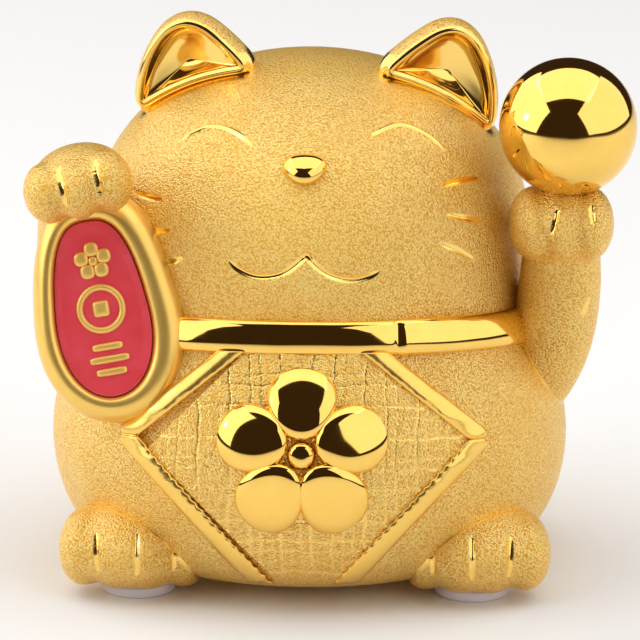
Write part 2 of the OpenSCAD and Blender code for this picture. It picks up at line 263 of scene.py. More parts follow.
def joined(name, parts):
    deselect()
    for part in parts:
        part.select_set(True)
    bpy.context.view_layer.objects.active = parts[0]
    if len(parts) > 1:
        bpy.ops.object.join()
    return named(name)


def clay(name, parts, voxel, passes):
    """Presses overlapping parts into one skin and smooths the creases between them."""
    obj = joined(name, parts)
    apply(obj, "REMESH", mode="VOXEL", voxel_size=voxel, use_smooth_shade=True)
    apply(obj, "SMOOTH", factor=0.5, iterations=passes)
    return obj


def egg(at, semi, turn=(0, 0, 0)):
    """A round form: its centre and half sizes in mm, turned in degrees about X, then Y, then Z."""
    deselect()
    bpy.ops.mesh.primitive_uv_sphere_add(segments=96, ring_count=48, radius=1)
    obj = named("egg")
    place = Matrix.Translation(Vector(np.asarray(at) * MM))
    for axis, angle in zip("ZYX", reversed(turn)):
        place = place @ Matrix.Rotation(math.radians(angle), 4, axis)
    obj.data.transform(place @ Matrix.Diagonal((*(np.asarray(semi) * MM), 1)))
    return obj


def limb(path, radii, end_power=5):
    """A round limb along a cubic curve in metres, its radii in mm, closed by round ends."""
    p, r = np.asarray(path, float), np.asarray(radii, float) * MM

    def surface(u, v):
        t = (1 - np.cos(math.pi * v)) / 2
        s = 1 - t
        weights = np.stack([s ** 3, 3 * s * s * t, 3 * s * t * t, t ** 3], -1)
        slopes = np.stack([s * s, 2 * s * t, t * t], -1)
        way = slopes @ np.diff(p, axis=0)
        way /= np.linalg.norm(way, axis=-1, keepdims=True)
        across = np.cross(way, (0, 1, 0))
        across /= np.linalg.norm(across, axis=-1, keepdims=True)
        size = (weights @ r) * (1 - np.abs(2 * t - 1) ** end_power) ** (1 / end_power)
        a = 2 * math.pi * u[:, None]
        return weights @ p + size[:, None] * (np.cos(a) * across + np.sin(a) * np.cross(way, across))

    return wrapped("limb", 96, 112, surface)


def polish(obj, amount, layer_name="polish"):
    """Keeps the greater of the polish that each vertex has and the amount given."""
    layer = obj.data.attributes.get(layer_name) or obj.data.attributes.new(layer_name, "FLOAT", "POINT")
    now = np.zeros(len(obj.data.vertices))
    layer.data.foreach_get("value", now)
    layer.data.foreach_set("value", np.maximum(now, amount))


def snapped(obj, path):
    """The points of a path, each moved to the nearest point of obj's skin."""
    return np.array([obj.closest_point_on_mesh(Vector(p))[1] for p in path])


def tree_of(points):
    tree = KDTree(len(points))
    for i, p in enumerate(points):
        tree.insert(p, i)
    tree.balance()
    return tree


def distance_to(co, path, reach):
    """For each point of co: how far it is from path, and how far along the path its nearest point is."""
    tree = tree_of(path)
    low, high = path.min(0) - reach, path.max(0) + reach
    near = np.where(((co > low) & (co < high)).all(1))[0]
    far = np.full(len(co), 1.0)
    along = np.zeros(len(co))
    for k in near:
        _, i, d = tree.find(co[k])
        far[k], along[k] = d, i / (len(path) - 1)
    return far, along


def refine(obj, path, reach, passes=0):
    """Cuts the faces near a path finer, and smooths them in so many passes."""
    far, _ = distance_to(read(obj, "center", "polygons"), path, reach)
    edit(obj)
    bpy.ops.mesh.select_all(action="DESELECT")
    leave()
    obj.data.polygons.foreach_set("select", far < reach)
    bpy.ops.object.mode_set(mode="EDIT")
    bpy.ops.mesh.select_mode(type="FACE")
    bpy.ops.mesh.subdivide(number_cuts=1, quadcorner="STRAIGHT_CUT")
    if passes:
        bpy.ops.mesh.vertices_smooth(factor=0.5, repeat=passes)
    bpy.ops.mesh.select_mode(type="VERT")
    leave()


def carve(obj, path, width, depth, taper, shine=1.0):
    """Presses a groove into obj along a path, or raises a line if depth is negative, and polishes it.

    The taper is the share of the path over which each end fades, or two shares.
    """
    far, along = distance_to(read(obj), path, 3 * width)
    head, tail = taper if isinstance(taper, tuple) else (taper, taper)
    ends = smooth_step(along, -1e-3, head) * smooth_step(along, 1 + 1e-3, 1 - tail)
    ends[far > 3 * width] = 0
    press = np.exp(-(far / width) ** 2) * ends
    write(obj, read(obj) - read(obj, "normal") * (depth * press)[:, None])
    polish(obj, shine * smooth_step(press, 0.12, 0.5))


def polish_creases(obj, width=1.3 * MM):
    """Polishes the strip where a piece meets the body."""
    polish(obj, 0.8 * smooth_step(np.abs(off_skin(read(obj))), width, width * 0.2))


# ---- Materials ----

def put(tree, socket, value):
    """Links an output to the socket, or sets a constant on it."""
    if isinstance(value, bpy.types.NodeSocket):
        tree.links.new(value, socket)
    else:
        socket.default_value = value


def wire(tree, node, **values):
    """Puts values on a node's inputs, each named by its label with underscores for spaces."""
    for name, value in values.items():
        put(tree, node.inputs[name.replace("_", " ")], value)


def add(tree, kind, settings=None, **inputs):
    """A node with its settings and the values on its inputs."""
    node = tree.nodes.new("ShaderNode" + kind)
    for name, value in (settings or {}).items():
        setattr(node, name, value)
    wire(tree, node, **inputs)
    return node


def maths(tree, operation, a, b, clamp=False):
    node = add(tree, "Math", {"operation": operation, "use_clamp": clamp})
    put(tree, node.inputs[0], a)
    put(tree, node.inputs[1], b)
    return node.outputs[0]


def attribute(tree, name):
    return add(tree, "Attribute", {"attribute_name": name}).outputs["Fac"]


def new_group(name, inputs, outputs):
    """A node group with float inputs and outputs, the node that gives the inputs, and the output node."""
    tree = bpy.data.node_groups.new(name, "ShaderNodeTree")
    for label, value in inputs.items():
        socket = tree.interface.new_socket(label, in_out="INPUT", socket_type="NodeSocketFloat")
        socket.default_value = value
    for label in outputs:
        tree.interface.new_socket(label, in_out="OUTPUT", socket_type="NodeSocketFloat")
    return tree, tree.nodes.new("NodeGroupInput"), tree.nodes.new("NodeGroupOutput")


def pebble_group():
    """Fine pebbled grain: Height for a bump, Groove, painted shade for the grooves between the pebbles, and
    a broad Tone.
    """
    tree, given, out = new_group("pebble grain", {"Grain": 1300.0, "Tone Size": 60.0},
                                 ("Height", "Groove", "Tone"))
    place = add(tree, "TexCoord").outputs["Object"]
    cells = add(tree, "TexVoronoi", {"feature": "F1"}, Vector=place, Scale=given.outputs["Grain"])
    deep = maths(tree, "POWER", cells.outputs["Distance"], 2.0)
    broad = add(tree, "TexNoise", Vector=place, Scale=given.outputs["Tone Size"], Detail=3.0)
    # Groove is painted shade: it darkens the colour in the grooves between the pebbles
    wire(tree, out, Height=maths(tree, "SUBTRACT", 1.0, deep),
         Groove=maths(tree, "MULTIPLY", deep, 2.2, clamp=True), Tone=broad.outputs["Fac"])


def ripple_group():
    """The slow unevenness of plated clay: Height for a bump, Smudge for roughness."""
    tree, given, out = new_group("plating ripple", {"Ripple": 70.0, "Smudges": 220.0},
                                 ("Height", "Smudge"))
    place = add(tree, "TexCoord").outputs["Object"]
    for label, scale, detail in (("Height", "Ripple", 1.0), ("Smudge", "Smudges", 4.0)):
        noise = add(tree, "TexNoise", Vector=place, Scale=given.outputs[scale], Detail=detail)
        put(tree, out.inputs[label], noise.outputs["Fac"])


def group_node(tree, group, **inputs):
    return add(tree, "Group", {"node_tree": bpy.data.node_groups[group]}, **inputs).outputs


def new_material(name):
    """A material with a bare Principled shader. One that came with the frame is emptied first."""
    material = bpy.data.materials.get(name) or bpy.data.materials.new(name)
    material.use_nodes = True
    tree = material.node_tree
    tree.nodes.clear()
    shader = add(tree, "BsdfPrincipled")
    add(tree, "OutputMaterial", Surface=shader.outputs["BSDF"])
    return material, tree, shader


def ramp(tree, factor, low, high):
    """A colour that runs from low to high with the factor."""
    node = add(tree, "ValToRGB", Fac=factor)
    node.color_ramp.elements[0].color = (*low, 1)
    node.color_ramp.elements[1].color = (*high, 1)
    return node.outputs["Color"]


def spread(tree, factor, low, high):
    """A value that runs from low to high with the factor."""
    return add(tree, "MapRange", Value=factor, To_Min=low, To_Max=high).outputs["Result"]


def bump(tree, height, strength, distance):
    return add(tree, "Bump", Height=height, Strength=strength, Distance=distance).outputs["Normal"]


# How far a pebble of the frosted clay stands out
GRAIN_RISE = 0.5 * MM
# What full satin adds to the polished gold's roughness, and takes from its metal
SATIN_ROUGH, SATIN_MATT = 0.35, 0.5


def pebbled_gold(look):
    """Frosted plating over grained clay. Where a piece is polished, the grain and the frost fade out."""
    _, tree, shader = new_material("pebbled_gold")
    grain = group_node(tree, "pebble grain", Grain=1 / look.grain_size)
    bright = attribute(tree, "polish")
    dull = maths(tree, "SUBTRACT", 1.0, bright, clamp=True)
    # Painted shade in the grooves between the pebbles, which pulls the frost towards its dark tone, plus
    # the random broad tone
    groove_shade_and_tone = maths(tree, "ADD", grain["Groove"], maths(tree, "MULTIPLY", grain["Tone"], 0.5))
    frost = ramp(tree, maths(tree, "SUBTRACT", groove_shade_and_tone, 0.25, clamp=True),
                 look.frosted_light, look.frosted_dark_and_groove_shade)
    mix = add(tree, "Mix", {"data_type": "RGBA"}, Factor=bright, A=frost, B=(*look.polished_light, 1))
    rough = spread(tree, grain["Tone"], look.frost - 0.05, look.frost + 0.05)
    rough = maths(tree, "ADD", maths(tree, "MULTIPLY", rough, dull), 0.1)
    depth = maths(tree, "MULTIPLY", maths(tree, "POWER", dull, 2.0), look.grain_depth)
    wire(tree, shader, Base_Color=mix.outputs["Result"], Roughness=rough, Metallic=1,
         Normal=bump(tree, grain["Height"], depth, GRAIN_RISE), Coat_Weight=0.3, Coat_Roughness=0.35)


def polished_gold(look):
    """Mirror plating, a little uneven, as the clay under it is. Where a piece is satin, it is duller."""
    _, tree, shader = new_material("polished_gold")
    ripple = group_node(tree, "plating ripple")
    satin = attribute(tree, "satin")
    rough = maths(tree, "ADD", spread(tree, ripple["Smudge"], 0.03, 0.09),
                  maths(tree, "MULTIPLY", satin, SATIN_ROUGH))
    matt = maths(tree, "MULTIPLY", maths(tree, "POWER", satin, 2.0), SATIN_MATT)
    wire(tree, shader, Base_Color=ramp(tree, ripple["Smudge"], look.polished_dark, look.polished_light),
         Roughness=rough, Metallic=maths(tree, "SUBTRACT", 1.0, matt),
         Normal=bump(tree, ripple["Height"], 0.25, 1.0 * MM))


def red_enamel(look):
    """Glassy red over a slow unevenness."""
    _, tree, shader = new_material("red_enamel")
    ripple = group_node(tree, "plating ripple", Ripple=160.0)
    wire(tree, shader, Base_Color=ramp(tree, ripple["Height"], look.enamel_deep, look.enamel),
         Roughness=spread(tree, ripple["Smudge"], 0.35, 0.5), Specular_IOR_Level=0.9,
         Normal=bump(tree, ripple["Height"], 0.15, 0.5 * MM), Coat_Weight=0.6, Coat_Roughness=0.08)


def soft_plastic(name, light, dark, rough):
    """A fine-grained plastic or rubber."""
    _, tree, shader = new_material(name)
    grain = group_node(tree, "pebble grain", Grain=2500.0, Tone_Size=120.0)
    wire(tree, shader, Base_Color=ramp(tree, grain["Tone"], dark, light),
         Roughness=spread(tree, grain["Tone"], rough - 0.06, rough + 0.06),
         Normal=bump(tree, grain["Height"], 0.15, 0.1 * MM))


def finish_piece(obj, material, node):
    """Gives a piece its material and puts it in place of its CAD node."""
    take(obj)
    bpy.ops.object.shade_smooth()
    obj.data.materials.clear()
    obj.data.materials.append(bpy.data.materials[material])
    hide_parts(node)
    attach(obj, BODY)


# ---- Settings ----

def colour(name, description, default):
    return FloatVectorProperty(name=name, description=description, subtype="COLOR", default=default,
                               min=0, max=1)


def share(name, description, default):
    return FloatProperty(name=name, description=description, subtype="FACTOR", default=default,
                         min=0, max=1)


def length(name, description, default, low=0, high=2):
    """A length in metres; the numbers given are in mm."""
    return FloatProperty(name=name, description=description, subtype="DISTANCE", unit="LENGTH",
                         default=default * MM, min=low * MM, max=high * MM)


class CatLook(PropertyGroup):
    """Colours and finishes."""
    frosted_light: colour("Frosted gold, light", "Lighter tone of the pebbled plating", (1.0, 0.78, 0.28))
    # The dark frosted tone is also the painted shade in the grooves between the pebbles
    frosted_dark_and_groove_shade: colour("Frosted gold, dark", "Darker tone of the pebbled plating", (0.84, 0.46, 0.07))
    polished_light: colour("Polished gold, light", "Lighter tone of the mirror plating",
                           (0.98, 0.66, 0.17))
    polished_dark: colour("Polished gold, dark", "Darker tone of the mirror plating", (0.93, 0.58, 0.12))
    enamel: colour("Enamel", "The coin's red", (0.92, 0.085, 0.12))
    enamel_deep: colour("Enamel, deep", "The red where the enamel lies thick", (0.80, 0.02, 0.035))
    pad_white: colour("Pads", "The white of the pads", (0.80, 0.77, 0.84))
    grain_size: length("Grain", "Size of one pebble of the frosted clay", 0.52, 0.3, 3)
    grain_depth: share("Grain depth", "How deep the pebbles look", 0.8)
    frost: share("Frost", "Roughness of the frosted plating", 0.34)


class CatSizes(PropertyGroup):
    """Sizes of the modelled detail."""
    eye_height: length("Eye lines", "How far the closed eyes' lines stand out", 0.6)
    mouth_depth: length("Mouth", "Depth of the mouth's groove", 0.8)
    whisker_depth: length("Whiskers", "Depth of the whiskers' grooves", 0.45)
    toe_depth: length("Toes", "Depth of the grooves between toes", 0.85)
    quilt_pitch: length("Quilting", "Distance between the bib's quilting lines", 2.7, 1.5, 8)
    quilt_depth: length("Quilting depth", "Depth of the bib's quilting lines", 0.34, 0, 1)
    voxel: length("Clay fineness", "Size of the cells that joined clay is pressed into", 0.7, 0.4, 3)


# ---- Materials' step and body ----

class CAT_OT_materials(Operator):
    """Builds the shared node groups and the materials"""
    bl_idname = "cat.materials"
    bl_label = "Materials"

    def execute(self, context):
        look = context.scene.cat_look
        pebble_group()
        ripple_group()
        pebbled_gold(look)
        polished_gold(look)
        red_enamel(look)
        soft_plastic("white_pad", look.pad_white, [c * 0.93 for c in look.pad_white], 0.45)
        soft_plastic("stopper_rubber", (0.74, 0.73, 0.70), (0.66, 0.65, 0.62), 0.6)
        for part in frame["record"]["subparts"]:
            mesh = frame["nodes"][part["node"]].data
            mesh.materials.clear()
            mesh.materials.append(bpy.data.materials[part["material_slot"]])
        return {"FINISHED"}


def ball_of_faces(name, cuts, out=0.0):
    """A cube cut fine and blown out to the body's skin, out metres off it."""
    deselect()
    bpy.ops.mesh.primitive_cube_add(size=2)
    obj = named(name)
    edit(obj)
    bpy.ops.mesh.subdivide(number_cuts=cuts)
    leave()
    even = np.tan(read(obj) * math.pi / 4)
    write(obj, to_skin(HEART + even * MM, out))
    return obj


def hollow(obj):
    """Cuts the casting's cavity and its drain hole out of the body."""
    cavity = ball_of_faces("cavity", CAVITY_CUTS, -WALL)
    keep_above(cavity, BASE_Z + WALL)
    deselect()
    bpy.ops.mesh.primitive_cylinder_add(
        vertices=96, radius=DRAIN_R, depth=4 * WALL, location=(0, 0, BASE_Z))
    drill = bpy.context.object
    for tool in (cavity, drill):
        apply(obj, "BOOLEAN", operation="DIFFERENCE", solver="MANIFOLD", object=tool)
        bpy.data.objects.remove(tool)


# The face's lines, as (x, v) on the leaning plane in mm
EYES = (((-34, 105), (-29.5, 108.2), (-23.5, 109.8), (-17, 107.4), (-12, 102.6)),
        ((15.5, 106.4), (19.8, 109.3), (25, 110.6), (32, 107.6), (37.9, 102.2)))
MOUTH = (((-21, 77), (-17, 72.8), (-11.5, 70.8), (-5, 71.9), (0.7, 76.2)),
         ((21.6, 74.2), (17, 71.2), (11.5, 70.2), (5.6, 72), (0.7, 76.2)))
WHISKERS = (((33, 94.2), (39.8, 96.4), (47, 97.7)), ((34.5, 87.7), (41, 86.8), (48, 85.6)),
            ((32.8, 81), (39.5, 78.2), (46, 74.6)), ((-35.5, 90.4), (-41, 91.4), (-47, 93.4)),
            ((-32.5, 82.4), (-38.5, 82.6), (-45, 82.6)), ((-29.3, 76), (-36, 74.2), (-43, 71.4)))
# Half widths of the eyes', mouth's and whiskers' lines
EYE_W, MOUTH_W, WHISKER_W = 0.62 * MM, 0.85 * MM, 0.75 * MM
# The skin is cut finer so far from all of the lines, and once more so far from the eyes and the mouth
FINE_REACH, FINEST_REACH = 2.2 * MM, 1.3 * MM
# How often each edge of the cube is cut that the body, or its cavity, is blown out from
BODY_CUTS, CAVITY_CUTS = 95, 30
# The outline of an ear nearer to the head than this is its foot, and the head is polished so far round it
EAR_FOOT = 5 * MM


def face_line(points):
    flat = curve_through(np.array(points, float), 160) * MM
    return on_lean(flat[:, 0], flat[:, 1])


class CAT_OT_body(Operator):
    """Forms the hollow body, with its closed eyes, mouth and whiskers"""
    bl_idname = "cat.body"
    bl_label = "Body"

    def execute(self, context):
        sizes = context.scene.cat_sizes
        obj = ball_of_faces("cat_body", BODY_CUTS)
        eyes, mouth, whiskers = [[face_line(p) for p in lines] for lines in (EYES, MOUTH, WHISKERS)]
        for line in eyes + mouth + whiskers:
            refine(obj, line, FINE_REACH)
        for line in eyes + mouth:
            refine(obj, line, FINEST_REACH)
        write(obj, to_skin(read(obj)))
        keep_above(obj, BASE_Z)
        for line in eyes:
            carve(obj, line, EYE_W, -sizes.eye_height, 0.25)
        for line in mouth:
            carve(obj, line, MOUTH_W, sizes.mouth_depth, (0.3, 0.0))
        for line in whiskers:
            carve(obj, line, WHISKER_W, sizes.whisker_depth, 0.45)
        for corners in EAR_CORNERS.values():
            loop, _, _ = ear_outline(np.array(corners) * MM)
            far, _ = distance_to(read(obj), loop[off_skin(loop) < EAR_FOOT], 8 * MM)
            polish(obj, 0.75 * smooth_step(far, EAR_FOOT, 2 * MM))
        hollow(obj)
        finish_piece(obj, "pebbled_gold", "body_shell")
        return {"FINISHED"}


# ---- Ears ----

# Corners of each ear's dish, in mm: the inner one, the tip and the outer one
EAR_CORNERS = {
    "right_ear": ((-16.6, -3.6, 132.9), (-33.4, 0, 146.4), (-45.2, 3, 120.4)),
    "left_ear": ((20.2, -3.2, 132.2), (39.6, 0, 145.2), (47.6, 2, 116.2)),
}
# How far each side of the dish bulges: inner, outer, and lower, which the head pushes up
EAR_BULGES = (1.0, 3.4, -2.1)
# How far from each corner its rounding starts
EAR_ROUNDS = (2.5, 6.5, 2.5)
# From the dish's middle over the rim to the back's middle: share kept, mm out and mm forward
EAR_SECTION = ((0, 0, -5.0), (0.3, 0, -4.8), (0.6, 0, -4.2), (0.8, -0.2, -3.4), (0.92, -0.6, -2.5),
               (0.98, -0.95, -1.6), (1, -1.0, -0.7), (1, -0.75, -0.05), (1, -0.3, 0.35), (1, 0.2, 0.4),
               (1, 0.8, 0.15), (1, 1.3, -0.5), (1, 1.75, -1.6), (1, 2.1, -3.2), (1, 2.2, -5.2),
               (0.97, 1.9, -7.6), (0.88, 1.2, -10.2), (0.7, 0.4, -12.4), (0.4, 0, -13.9), (0, 0, -14.3))
EAR_SIDES, EAR_ROWS = 120, 60
# Radius of the fillet where an ear's back meets the head
EAR_FLARE = 2.5 * MM
# The dish's floor stays this far off the head, and the section's rows before this one are the dish
DISH_OFF, DISH_ROWS = 0.4 * MM, 24


def ear_outline(corners):
    """The rounded, bulging triangle through three corners, the ways out of it, and the way forward."""
    forward = np.cross(corners[2] - corners[0], corners[1] - corners[0])
    forward /= np.linalg.norm(forward)
    if forward[1] > 0:
        forward = -forward
    middle = corners.mean(0)
    points = []
    for i in range(3):
        a, b = corners[i], corners[(i + 1) % 3]
        edge = b - a
        whole = np.linalg.norm(edge)
        out = np.cross(edge, forward) / whole
        if out @ (a - middle) < 0:
            out = -out
        start, end = EAR_ROUNDS[i] * MM / whole, 1 - EAR_ROUNDS[(i + 1) % 3] * MM / whole
        t = np.linspace(start, end, 40)[:, None]
        points.append(a + edge * t + out * EAR_BULGES[i] * MM * 4 * t * (1 - t))
    loop = []
    for i in range(3):
        start, end = points[i][-1], points[(i + 1) % 3][0]
        t = np.linspace(0, 1, 14)[1:-1, None]
        loop += [points[i], (1 - t) ** 2 * start + 2 * t * (1 - t) * corners[(i + 1) % 3] + t * t * end]
    loop = eased(np.vstack(loop), 12)
    closed = np.vstack([loop, loop[:1]])
    run = np.concatenate([[0], np.cumsum(np.linalg.norm(np.diff(closed, axis=0), axis=1))])
    even = np.linspace(0, run[-1], EAR_SIDES, endpoint=False)
    loop = np.stack([np.interp(even, run, closed[:, k]) for k in range(3)], -1)
    slope = np.roll(loop, -1, 0) - np.roll(loop, 1, 0)
    out = np.cross(slope, forward)
    out /= np.linalg.norm(out, axis=1, keepdims=True)
    if (out * (loop - loop.mean(0))).sum() < 0:
        out = -out
    return loop, out, forward


class CAT_OT_ears(Operator):
    """Forms both ears, each with a polished dish and rim"""
    bl_idname = "cat.ears"
    bl_label = "Ears"

    def execute(self, context):
        for node, corners in EAR_CORNERS.items():
            loop, out, forward = ear_outline(np.array(corners) * MM)
            obj = wrapped("cat_" + node, EAR_SIDES, EAR_ROWS, ear_surface(loop, out, forward))
            apply(obj, "SUBSURF", levels=1, render_levels=1)
            co = read(obj)
            tree = tree_of(loop)
            i = np.array([tree.find(p)[1] for p in co])
            wide = ((co - loop[i]) * out[i]).sum(1)
            ahead = (co - loop[i]) @ forward
            rim = smooth_step(wide, 1.5 * MM, 0.8 * MM)
            low = smooth_step(off_skin(loop[i]), 6 * MM, 3 * MM)
            polish(obj, smooth_step(ahead, -7.5 * MM, -6.5 * MM) * np.maximum(rim, low))
            finish_piece(obj, "pebbled_gold", node)
        return {"FINISHED"}


def ear_surface(loop, out, forward):
    """The section swept round the outline, with the dish lifted off the head and a fillet at its foot."""
    section = curve_through(EAR_SECTION, EAR_ROWS + 1)
    middle = loop.mean(0)
    low_edge = eased(smooth_step(off_skin(loop), 12 * MM, 1 * MM), 60)

    def surface(u, v):
        i = np.round(u * EAR_SIDES).astype(int) % EAR_SIDES
        k = np.round(v * EAR_ROWS).astype(int)
        keep, wide, ahead = section[k, 0], section[k, 1] * MM, section[k, 2] * MM
        shallow = 1 - 0.7 * low_edge[i] * np.clip(keep, 0, 1) ** 2
        ahead = np.where(k < DISH_ROWS, ahead * shallow, ahead)
        co = middle + (loop[i] - middle) * np.maximum(keep, 0)[:, None]
        co = co + out[i] * wide[:, None] + forward * ahead[:, None]
        sunk = (off_skin(co) < DISH_OFF) & (k < DISH_ROWS)
        co[sunk] = to_skin(co[sunk], DISH_OFF)
        clear = off_skin(co)
        near = np.clip(EAR_FLARE - clear, 0, EAR_FLARE)
        flare = EAR_FLARE - np.sqrt(EAR_FLARE ** 2 - near ** 2)
        flare *= smooth_step(clear, -2 * MM, 0) * smooth_step(ahead, -0.8 * MM, -2 * MM) * (wide > 0)
        return co + out[i] * flare[:, None]

    return surface


# ---- Arms ----

# Places and radii here are in mm
PAW_R, ARM_R = 13.5, 11
LEFT_PAW = BALL_AT / MM - (1.5, 0, 26)
LEFT_ARM = ((46, -2, 36), (66, -8, 54), (67, -16, 72), LEFT_PAW + (0, 1, 0))
LEFT_TOES = (((64.8, -29.2, 105), (64.3, -31, 101), (63.7, -31, 96)),
             ((74, -27.6, 106), (74.4, -29.8, 102.5), (74.6, -30.6, 99)))
ELBOW_MARK = ((74.6, -22, 78), (73, -22.8, 74.5), (72.4, -22.5, 71.5))
# Half widths of the toes' lines, in metres, and of the elbow's crease with its depth
TOE_W, RIGHT_TOE_W = 0.8 * MM, 1.0 * MM
ELBOW_W, ELBOW_DEPTH = 0.9 * MM, 0.5 * MM

# Where the coin's middle lies: towards this side, and so far out of the body
COIN_WAY, COIN_OUT = towards(-53.8, 15.7), 10.7
COIN_AT = on_skin(COIN_WAY, COIN_OUT * MM) / MM
COIN_TURN, COIN_LEAN, COIN_TILT = 2, 17, 11
COIN_PLACE = (Matrix.Translation(Vector(COIN_AT * MM)) @ Matrix.Rotation(math.radians(-COIN_TURN), 4, "Z")
              @ Matrix.Rotation(math.radians(-COIN_LEAN), 4, "X")
              @ Matrix.Rotation(math.radians(-COIN_TILT), 4, "Y")
              @ Matrix.Rotation(math.radians(90), 4, "X"))
RIGHT_PAW = COIN_AT + (-7.2, 2.9, 34.1)
RIGHT_ARM = ((-46, -2, 36), (-62, -6, 62), (-62, -12, 88), RIGHT_PAW + (0, 8, -3))
TOE_DOWN = ((-0.9, -8, 8.5), (0, -14, 4.5), (0.8, -16, 0), (1.5, -15, -4))
RIGHT_TOES = tuple([RIGHT_PAW + (side + x, y, rise + z) for x, y, z in TOE_DOWN]
                   for side, rise in ((-4.4, -1.1), (4.9, 1.3)))


def toe_lines(obj, lines, width, depth):
    for line in lines:
        path = snapped(obj, curve_through(np.array(line) * MM, 60))
        refine(obj, path, 3 * MM, passes=12)
        carve(obj, snapped(obj, path), width, depth, 0.3, shine=0.8)


def arm(name, curve, radii, eggs, toes, toe_width, sizes):
    """Presses a limb and the eggs of its paw together, and draws its toes."""
    parts = [limb(np.array(curve) * MM, radii)] + [egg(*place) for place in eggs]
    obj = clay(name, parts, sizes.voxel, 14)
    toe_lines(obj, toes, toe_width, sizes.toe_depth)
    return obj


class CAT_OT_arms(Operator):
    """Forms the raised left arm and the right arm over the coin, with their paws"""
    bl_idname = "cat.arms"
    bl_label = "Arms"

    def execute(self, context):
        sizes = context.scene.cat_sizes
        paw = [(LEFT_PAW, (PAW_R - 0.4, PAW_R - 1, PAW_R - 2))]
        for k in (-1, 0, 1):
            at = LEFT_PAW + (k * PAW_R * 0.56, -3.5 + abs(k) * 1.2, 0.5)
            paw.append((at, (PAW_R * 0.46, 10.8, PAW_R - 4)))
        obj = arm("cat_left_arm", LEFT_ARM, (ARM_R, ARM_R + 2, ARM_R - 1, ARM_R), paw, LEFT_TOES,
                  TOE_W, sizes)
        toe_lines(obj, (ELBOW_MARK,), ELBOW_W, ELBOW_DEPTH)
        polish_creases(obj)
        finish_piece(obj, "pebbled_gold", "left_arm")

        paw = [(RIGHT_PAW, (PAW_R - 0.9, 14, 9), (-6, -13, 0))]
        for place in ((-7.7, -6.5, -2.2), (0.3, -8, -0.4), (8.3, -6.5, 1.4)):
            paw.append((RIGHT_PAW + place, (PAW_R * 0.45, 8, 8), (0, -13, 0)))
        obj = arm("cat_right_arm", RIGHT_ARM, (ARM_R, ARM_R + 1, ARM_R, ARM_R - 1), paw, RIGHT_TOES,
                  RIGHT_TOE_W, sizes)
        polish_creases(obj)
        finish_piece(obj, "pebbled_gold", "right_arm")
        return {"FINISHED"}


# ---- Feet and tail ----

FOOT_R, FOOT_H, FOOT_APART, FOOT_Y = 19, 22, 44.5, -35.5
FOOT_TURN = 8
# Where the three grooves of a foot lie, as shares of its half width
TOE_LINES = (-0.56, 0.02, 0.56)
# The tail's middle line: azimuth, elevation and mm out of the skin
TAIL = ((168, -33, -4), (200, -30, 6), (222, -22, 8), (216, -6, 3))


class CAT_OT_feet(Operator):
    """Forms the two feet with their toes"""
    bl_idname = "cat.feet"
    bl_label = "Feet"

    def execute(self, context):
        sizes = context.scene.cat_sizes
        for node, side in (("right_foot", -1), ("left_foot", 1)):
            middle = np.array((side * FOOT_APART, FOOT_Y, BASE_Z / MM))
            turn = (0, 0, side * FOOT_TURN)
            parts = [egg(middle + (0, 0, FOOT_H * 0.46), (FOOT_R, 18, FOOT_H * 0.54), turn)]
            for k in (-1.5, -0.5, 0.5, 1.5):
                at = middle + (k * FOOT_R * 0.46, -6 + abs(k) * 2.4, FOOT_H * 0.42)
                parts.append(egg(at, (FOOT_R * 0.37, 11.5, FOOT_H * 0.48), turn))
            obj = clay("cat_" + node, parts, sizes.voxel, 40)
            lines = [[middle + (k * FOOT_R - side * 0.8, y + abs(k) * 3, z)
                      for y, z in ((-12, 18), (-16, 14), (-17.6, 9), (-17, 4))] for k in TOE_LINES]
            toe_lines(obj, lines, TOE_W, sizes.toe_depth)
            keep_above(obj, BASE_Z)
            polish_creases(obj)
            finish_piece(obj, "pebbled_gold", node)
        return {"FINISHED"}


class CAT_OT_tail(Operator):
    """Forms the short tail that curls up the back"""
    bl_idname = "cat.tail"
    bl_label = "Tail"

    def execute(self, context):
        path = [on_skin(towards(a, e), out * MM) for a, e, out in TAIL]
        obj = clay("cat_tail", [limb(path, (9, 9, 8, 6.5), 4)], context.scene.cat_sizes.voxel, 4)
        polish_creases(obj)
        finish_piece(obj, "pebbled_gold", "tail")
        return {"FINISHED"}


# ---- Coin ----

# In mm: half sizes of the coin, and its rim's width at the sides and at the ends
COIN_HALF_W, COIN_HALF_L, COIN_HALF_T = 19.8, 30.2, 5
RIM_W, RIM_END = 7.9, 7.3
# The coin's outline is an ellipse below and squarer above, and it narrows towards the paw
COIN_FULLNESS, COIN_TAPER = (2.0, 2.8), 0.19
# How far the recess lies to one side of the coin's middle, and how deep it is
RECESS_SHIFT, RECESS = 1.3, 3
# From the back's middle over the rim to the recess's middle: share kept of the oval, mm in, and height
COIN_SECTION = ((0, 0, -5), (0.5, 0, -5), (1, 1.4, -5), (1, 0.4, -4.7), (1, 0.02, -3.8), (1, 0.1, -2),
                (1, 0.4, 0), (1, 1.0, 2), (1, 2.0, 3.5), (1, 3.5, 4.6), (1, 5.1, 5), (1, 6.6, 4.6),
                (1, 7.3, 3.7), (1, 7.7, 2.6), (1, 7.9, 1.7), (0.6, 4, 1.6), (0, 0, 1.6))
COIN_ROWS = 96
# The enamel's surface, above the coin's middle plane, and how high it creeps at the rim
ENAMEL_TOP, ENAMEL_CREEP = COIN_HALF_T - RECESS + 1.2, 0.35
PETALS = 5
# The marks' places up the enamel: the blossom above the ring, the bars below it
MARK_BLOSSOM, MARK_BARS, BAR_PITCH = 12.5, -13.2, 3.3


